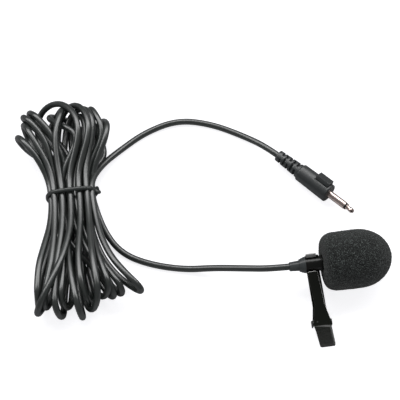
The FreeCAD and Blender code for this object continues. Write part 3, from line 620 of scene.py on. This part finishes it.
    def settled(self) -> np.ndarray:
        """Lets the strands push each other apart until they lie beside and on each other.

        Returns:
            The control points of the whole cord, in millimetres.
        """
        start, fixed = self.wound()
        count, per = len(start), self.samples
        rows = np.zeros(((count - 2) * per, count))
        for k in range(per):
            t = k / per
            for i, share in enumerate((0.5 * (1 - t) ** 2, 0.5 + t - t * t, 0.5 * t * t)):
                rows[np.arange(count - 2) * per + k, np.arange(count - 2) + i] = share
        share = np.maximum(rows.sum(0), 1e-6)[:, None]
        free = (~fixed)[:, None]
        gap = 2 * self.radius
        points = start.copy()
        for k in range(self.rounds):
            line = rows @ points
            if k % self.regroup == 0:
                square = (line**2).sum(1)
                apart = square[:, None] + square[None, :] - 2 * line @ line.T
                a, b = np.nonzero(np.triu(apart < (gap + self.reach) ** 2, 3 * per + 1))
            between = line[a] - line[b]
            distance = np.sqrt((between**2).sum(1)) + 1e-9
            force = (np.maximum(gap - distance, 0.0) / 2 / distance)[:, None] * between
            move = np.stack([np.bincount(a, push, len(line)) - np.bincount(b, push, len(line))
                             for push in force.T], axis=1)
            size = np.linalg.norm(move, axis=1, keepdims=True)
            move *= np.minimum(1.0, self.step / np.maximum(size, 1e-9))
            move[:, 2] += np.maximum(self.radius - line[:, 2], 0.0)
            points = points + free * (rows.T @ move) / share
            shift = points - start
            around = np.zeros_like(shift)
            around[1:-1] = (shift[:-2] + shift[2:]) / 2 - shift[1:-1]
            points = points + free * self.evening * around
            points[:, 2] = np.maximum(points[:, 2], self.radius)
        return points


@dataclass
class Cord:
    """The cord itself and its wire tie."""

    line: CordLine = field(default_factory=CordLine)
    rings: int = 8
    length: float = 2950.0
    tie_radius: float = 1.0
    tie_half: tuple[float, float] = (11.4, 6.3)
    tie_mid_z: float = 7.4
    tie_points: int = 16
    tie_open: float = 20.0      # degrees of the loop on each side of the twist
    tie_power: float = 0.8      # 1 gives an ellipse, and less a squarer loop
    tie_sway: float = 0.3
    tie_sways: int = 3
    tie_rings: int = 6
    stub: Point = (-105.2, 67.1, 8.4)
    stub_way: Point = (1.0, 0.15, 0.6)
    stub_len: float = 1.1
    stub_turns: float = 0.4
    stub_points: int = 9

    def build(self, plug: list[bpy.types.Object]) -> bpy.types.Object:
        """Builds the cord and its tie.

        Args:
            plug: the pieces of the plug, which lie on the cord's end; not used.

        Returns:
            The cord's piece.
        """
        cord = smooth_path("cord", self.line.settled(), self.line.radius, self.rings)
        place_piece(cord, CORD_PVC, "cord_pvc", Body.MICROPHONE, "cable_mic_side", "cable_hank",
                    "cable_plug_side")
        tie = self.tie()
        return cord

    def stub_strand(self, phase: float) -> list[Vector]:
        """One of the wire's two ends, wound round the other.

        Args:
            phase: where round the other it starts, as an angle.

        Returns:
            Its points from the loop outwards, in millimetres.
        """
        way = Vector(self.stub_way).normalized()
        side = way.cross(Vector((0, 1, 0))).normalized()
        places = []
        for k in range(self.stub_points):
            share = k / (self.stub_points - 1)
            turn = phase + 2 * math.pi * self.stub_turns * share
            out = side * math.cos(turn) + way.cross(side) * math.sin(turn)
            places.append(Vector(self.stub) + way * (self.stub_len * share) + out * self.tie_radius)
        return places

    def tie(self) -> bpy.types.Object:
        """Coated wire round the hank's waist, its two ends twisted together and cut short.

        Returns:
            The tie's piece.
        """
        loop = []
        for k in range(1, self.tie_points):
            angle = math.radians(self.tie_open + (360 - 2 * self.tie_open) * k / self.tie_points)
            c, s = math.cos(angle), math.sin(angle)
            loop.append(Vector((
                self.line.tie_x + self.tie_half[0] * math.copysign(abs(c) ** self.tie_power, c),
                self.line.tie_y + self.tie_sway * math.sin(self.tie_sways * angle),
                self.tie_mid_z + self.tie_half[1] * math.copysign(abs(s) ** self.tie_power, s))))
        points = self.stub_strand(0.0)[::-1] + loop + self.stub_strand(math.pi)
        path = smooth_path("tie_path", np.array([tuple(p) for p in points]), self.tie_radius,
                           self.tie_rings)
        data = bpy.data.meshes.new_from_object(path.evaluated_get(bpy.context.evaluated_depsgraph_get()))
        bpy.data.objects.remove(path)
        data.name = "wire_tie"
        tie = bpy.data.objects.new("wire_tie", data)
        bpy.context.scene.collection.objects.link(tie)
        place_piece(tie, TIE_PVC, "tie_pvc", Body.MICROPHONE, "cable_tie")
        return tie


# Windscreen

@dataclass
class Windscreen:
    """Foam windscreen over the head: a flat back with a swelling corner, and an elliptical dome."""

    length: float = 31.5
    radius: float = 13.3
    back_flat: float = 7.2
    corner: tuple[float, float] = (5.0, 13.15)
    belly_x: float = 16.2
    rim_bulge: float = 1.75
    side_bulge: float = 0.04
    bore: float = 3.85
    bore_len: float = 18.9
    dome_steps: int = 24
    arc_steps: int = 12
    weld: float = 0.01           # corners on the axis that lie nearer than this become one
    cell: float = 0.3            # spacing of the corners along the outline
    cell_stretch: float = 1.6    # how much wider they are spaced round it
    rough_size: float = 2.2      # the cells' roughness, in spacings
    rough_depth: float = 0.16
    lump_size: float = 6.0
    lump_depth: float = 0.12
    lift: float = 0.05           # corners that would come nearer the table than this stay where they are
    seed_shift: Point = (3.1, 7.7, 1.3)

    def outline(self) -> list[tuple[float, float]]:
        """The body's half section from the bottom of its bore round to its dome's tip, evenly spaced.

        Returns:
            Corners as distance from the back and radius, in millimetres.
        """
        way = [(self.bore_len, 0.0), (self.bore_len, self.bore), (0.0, self.bore), (0.0, self.back_flat)]
        way += self.swollen((0.0, self.back_flat), self.corner, self.rim_bulge)
        way += self.swollen(self.corner, (self.belly_x, self.radius), self.side_bulge)
        dome = self.length - self.belly_x
        way += [(self.belly_x + dome * math.sin(t), self.radius * math.cos(t))
                for t in (math.pi / 2 * k / self.dome_steps for k in range(1, self.dome_steps + 1))]
        spots = [way[0]]
        for (x0, r0), (x1, r1) in zip(way, way[1:]):
            parts = max(1, round(math.hypot(x1 - x0, r1 - r0) / self.cell))
            spots += [(x0 + (x1 - x0) * k / parts, r0 + (r1 - r0) * k / parts) for k in range(1, parts + 1)]
        return spots

    def swollen(self, a: tuple[float, float], b: tuple[float, float],
                bulge: float) -> list[tuple[float, float]]:
        """A shallow arc from one corner to the next.

        Args:
            a: where it starts.
            b: where it ends.
            bulge: how far its middle stands out from its chord.

        Returns:
            Its points after the first.
        """
        length = math.dist(a, b)
        out = (-(b[1] - a[1]) / length, (b[0] - a[0]) / length)
        shares = [k / self.arc_steps for k in range(1, self.arc_steps + 1)]
        return [(a[0] + (b[0] - a[0]) * t + out[0] * bulge * 4 * t * (1 - t),
                 a[1] + (b[1] - a[1]) * t + out[1] * bulge * 4 * t * (1 - t)) for t in shares]

    def build(self) -> bpy.types.Object:
        """Spins the outline and roughens its surface.

        Returns:
            The windscreen's piece.
        """
        low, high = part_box("foam_windscreen")
        back, axis = low[0], Vector((0, (low[1] + high[1]) / 2, (low[2] + high[2]) / 2))
        mesh = bmesh.new()
        spots = [mesh.verts.new((back + x * MM, axis.y, axis.z + r * MM)) for x, r in self.outline()]
        edges = [mesh.edges.new(pair) for pair in zip(spots, spots[1:])]
        around = round(2 * math.pi * self.radius / self.cell / self.cell_stretch)
        bmesh.ops.spin(mesh, geom=spots + edges, cent=axis, axis=(1, 0, 0), angle=2 * math.pi, steps=around,
                       use_merge=True)
        bmesh.ops.remove_doubles(mesh, verts=mesh.verts, dist=self.weld * MM)
        bmesh.ops.recalc_face_normals(mesh, faces=mesh.faces)
        mesh.normal_update()
        shift = Vector(self.seed_shift)
        for vert in mesh.verts:
            rough = noise.noise(vert.co / (self.cell * self.rough_size * MM) + shift) * self.rough_depth
            lump = noise.noise(vert.co / (self.lump_size * MM) + shift) * self.lump_depth
            height = vert.co.z + vert.normal.z * (rough + lump) * MM
            if height > self.lift * MM:
                vert.co += vert.normal * (rough + lump) * MM
        foam = piece_from("foam_body", mesh, smooth=180.0)
        place_piece(foam, FOAM, "foam_open_cell", Body.WINDSCREEN, "foam_windscreen")
        return foam


# Head, clip and plug

@dataclass
class Head:
    """Shell, capsule and tail of the microphone itself."""

    finishes: dict[str, Finish] = field(default_factory=lambda: {
        "head_shell": SHELL_PAINT, "front_grille": SHELL_PAINT, "acoustic_mesh": MESH, "dust_felt": FELT,
        "capsule_can": ALUMINIUM, "diaphragm_ring": BRASS, "diaphragm": FILM, "spacer_ring": FILM,
        "backplate": STEEL, "backplate_holder": HOLDER, "gate_ring": BRASS, "capsule_board": BOARD,
        "fet": CHIP, "solder_joints": SOLDER, "capsule_boot": RUBBER, "inner_leads": LEAD,
        "crimp_ferrule": BRASS, "tail_cone": RUBBER, "strain_relief": RUBBER})

    def build(self) -> None:
        """Dresses the head's nodes."""
        for node, finish in self.finishes.items():
            dress_node(node, finish)


@dataclass
class Clip:
    """Sprung tie clip: a ring and rear arm in one strip, a front jaw, a pin and a spring."""

    edge: float = 0.14
    highlight_facing: float = 0.3           # how far along x a rounding faces to take the painted highlight
    tab_from: float = 4.2       # distance from the head's axis at which the ring's upper end is the tab
    coil_half: float = 0.75     # distance from the pin's axis past which the spring is leg rather than coil

    def build(self) -> None:
        """Rounds the strips' edges, paints highlight on the ring's tab and on the roundings that face the
        light, and dresses the small parts.
        """
        arm = eased_copy("clip_back_arm", "rear_arm", self.edge, highlight_facing=self.highlight_facing)
        low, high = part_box("tail_cone")
        axis = (low + high) / 2
        # The ring's upper end beyond the tab's radius takes the pale second finish: painted highlight where
        # the tab catches the light.
        for face in arm.data.polygons:
            out = face.center - axis
            if out.z > 0 and out.yz.length > self.tab_from * MM:
                face.material_index = SECOND_FINISH
        place_piece(arm, CLIP_PAINT, "clip_steel_black", Body.CLIP, "clip_back_arm", second=PAINTED_HIGHLIGHT_STEEL)
        jaw = eased_copy("clip_front_jaw", "front_jaw", self.edge, highlight_facing=self.highlight_facing)
        place_piece(jaw, CLIP_PAINT, "clip_steel_black", Body.JAW, "clip_front_jaw", second=PAINTED_HIGHLIGHT_STEEL)
        dress_node("clip_pivot_pin", PIN_STEEL)
        self.spring()

    def spring(self) -> None:
        """Copies the spring as one steel piece, which stays where it lies."""
        mesh = bmesh.new()
        mesh.from_mesh(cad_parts["clip_spring"].data)
        piece = piece_from("torsion_spring", mesh)
        piece.data.materials.append(STEEL.material())
        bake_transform(piece)
        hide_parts("clip_spring")
        LOG.info("%s built as %s, bending between %s and %s", piece.name, STEEL.name, Body.CLIP.value,
                 Body.JAW.value)


@dataclass
class Plug:
    """Moulded jack plug: a body with a flexing boot, and a two-pole pin."""

    edge: float = 0.15

    def build(self) -> list[bpy.types.Object]:
        """Rounds the moulding's edges and dresses the pin.

        Returns:
            The pieces that lie on the cord.
        """
        body = eased_copy("plug_overmould", "plug_body", self.edge)
        place_piece(body, PLUG_PVC, "plug_pvc", Body.MICROPHONE, "plug_overmould")
        nodes = {"plug_premould": PLUG_PVC, "plug_sleeve": NICKEL, "plug_insulator": INSULATOR,
                 "plug_tip": NICKEL, "plug_leads": LEAD}
        for node, finish in nodes.items():
            dress_node(node, finish)
        return [body] + [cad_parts[node] for node in nodes]


# Studio

@dataclass(frozen=True)
class Lamp:
    """Soft rectangular lamp, with its place and size in millimetres and its power in watts."""

    name: str
    place: Point
    size: tuple[float, float]
    power: float
    glossy: bool = True         # whether highlights show it

    def hang(self, aim: Vector) -> None:
        """Hangs the lamp so that it faces a point.

        Args:
            aim: the point, in metres.
        """
        data = bpy.data.lights.new(self.name, "AREA")
        data.shape = "RECTANGLE"
        data.size, data.size_y = (side * MM for side in self.size)
        data.energy = self.power
        lamp = bpy.data.objects.new(self.name, data)
        lamp.visible_glossy = self.glossy
        bpy.context.scene.collection.objects.link(lamp)
        lamp.location = Vector(self.place) * MM
        lamp.rotation_euler = (aim - lamp.location).to_track_quat("-Z", "Y").to_euler()


@dataclass
class Studio:
    """Pale floor, soft light from behind and above, and the camera."""

    eye: Point = (-97.803, -236.726, 519.615)
    aim: Point = (-57.089, 60.498, 0.0)
    lens: float = 114.0
    nearest: float = 10.0
    lamps: tuple[Lamp, ...] = (
        Lamp("lamp_far", (-70, 460, 700), (2400, 360), 10.0),
        Lamp("lamp_near", (-60, -480, 480), (1400, 600), 2.3, glossy=False))
    floor_size: float = 8000.0
    bounce: str = "#a6a6a8"     # the floor as it lights the object
    white: str = "#fdfdff"      # the floor and the walls as the camera sees them
    glow_share: float = 0.4     # how much of the floor's look is glow, so that it is white but takes shadows
    glow: float = 1.9
    wall_light: float = 0.14    # the walls' strength as a light

    def build(self) -> None:
        """Sets up the view, the floor, the lamps and the world."""
        scene = bpy.context.scene
        scene.view_settings.view_transform = "Standard"
        self.camera(scene)
        self.floor()
        for lamp in self.lamps:
            lamp.hang(Vector(self.aim) * MM)
        self.world(scene)

    def camera(self, scene: bpy.types.Scene) -> None:
        """Places the camera.

        Args:
            scene: the scene that it films.
        """
        data = bpy.data.cameras.new("camera")
        data.lens = self.lens
        data.clip_start = self.nearest * MM
        camera = bpy.data.objects.new("camera", data)
        scene.collection.objects.link(camera)
        eye, aim = Vector(self.eye) * MM, Vector(self.aim) * MM
        camera.location = eye
        camera.rotation_euler = (aim - eye).to_track_quat("-Z", "Y").to_euler()
        scene.camera = camera

    def floor(self) -> None:
        """Lays a pale floor that looks white to the camera and keeps the shadows."""
        mesh = bmesh.new()
        bmesh.ops.create_grid(mesh, x_segments=1, y_segments=1, size=self.floor_size / 2 * MM)
        floor = piece_from("floor", mesh)
        material = bpy.data.materials.new("paper_sweep_white")
        material.use_nodes = True
        tree = material.node_tree
        tree.nodes.clear()
        path = add_node(tree, "ShaderNodeLightPath")
        paper = add_node(tree, "ShaderNodeMix",
                         {"Factor": path.outputs["Is Camera Ray"], 6: linear(self.bounce),
                          7: linear(self.white)}, data_type="RGBA")
        matt = add_node(tree, "ShaderNodeBsdfDiffuse", {"Color": paper.outputs[2]})
        glow = add_node(tree, "ShaderNodeEmission", {"Color": linear(self.white), "Strength": self.glow})
        share = add_node(tree, "ShaderNodeMath", {0: path.outputs["Is Camera Ray"], 1: self.glow_share},
                         operation="MULTIPLY")
        mixed = add_node(tree, "ShaderNodeMixShader",
                         {0: share.outputs[0], 1: matt.outputs[0], 2: glow.outputs[0]})
        add_node(tree, "ShaderNodeOutputMaterial", {"Surface": mixed.outputs[0]})
        floor.data.materials.append(material)

    def world(self, scene: bpy.types.Scene) -> None:
        """Makes the surroundings pale, and white where the camera sees them.

        Args:
            scene: the scene that they surround.
        """
        world = bpy.data.worlds.new("studio_walls")
        world.use_nodes = True
        tree = world.node_tree
        tree.nodes.clear()
        path = add_node(tree, "ShaderNodeLightPath")
        strength = add_node(tree, "ShaderNodeMapRange", {"Value": path.outputs["Is Camera Ray"],
                                                         "To Min": self.wall_light, "To Max": 1.0})
        back = add_node(tree, "ShaderNodeBackground",
                        {"Color": linear(self.white), "Strength": strength.outputs[0]})
        add_node(tree, "ShaderNodeOutputWorld", {"Surface": back.outputs[0]})
        scene.world = world


def main() -> None:
    """Builds the microphone in order."""
    logging.basicConfig(level=logging.INFO, format="%(message)s")
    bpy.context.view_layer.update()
    Studio().build()
    Head().build()
    Clip().build()
    Windscreen().build()
    Cord().build(Plug().build())


if __name__ == "__main__":
    main()
